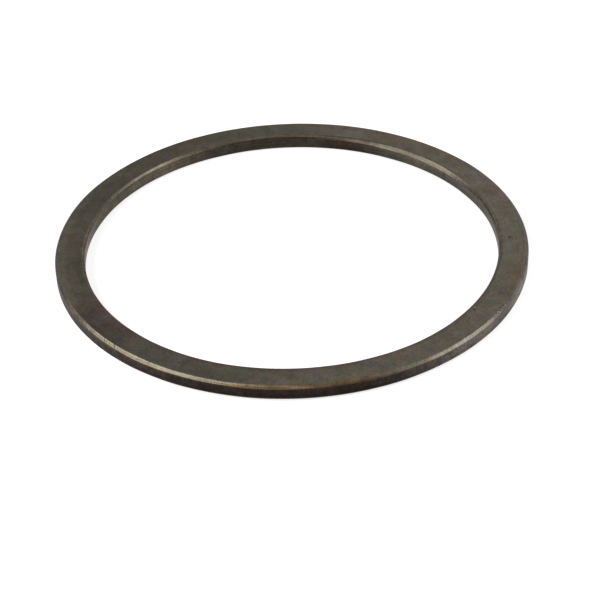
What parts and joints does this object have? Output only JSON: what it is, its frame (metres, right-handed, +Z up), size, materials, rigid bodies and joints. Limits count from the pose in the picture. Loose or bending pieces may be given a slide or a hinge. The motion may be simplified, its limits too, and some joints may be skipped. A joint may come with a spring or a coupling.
{
  "type": "spacer ring",
  "caption": "Flat turned steel spacer ring, thin and wide, with a plain bore and a chamfer on every edge, in dark worn steel.",
  "frame": {"origin": "centre of the lower face, on the axis of the ring", "axes": "+Z up along the axis of the ring; the ring is round, so X and Y are free"},
  "size_m": [0.12, 0.12, 0.004],
  "materials": {
    "dark_steel": "dark oxidised turned steel, dull on the faces, brighter on the chamfers"
  },
  "bodies": {
    "root": {"spacer_ring": "dark_steel"}
  },
  "joints": []
}
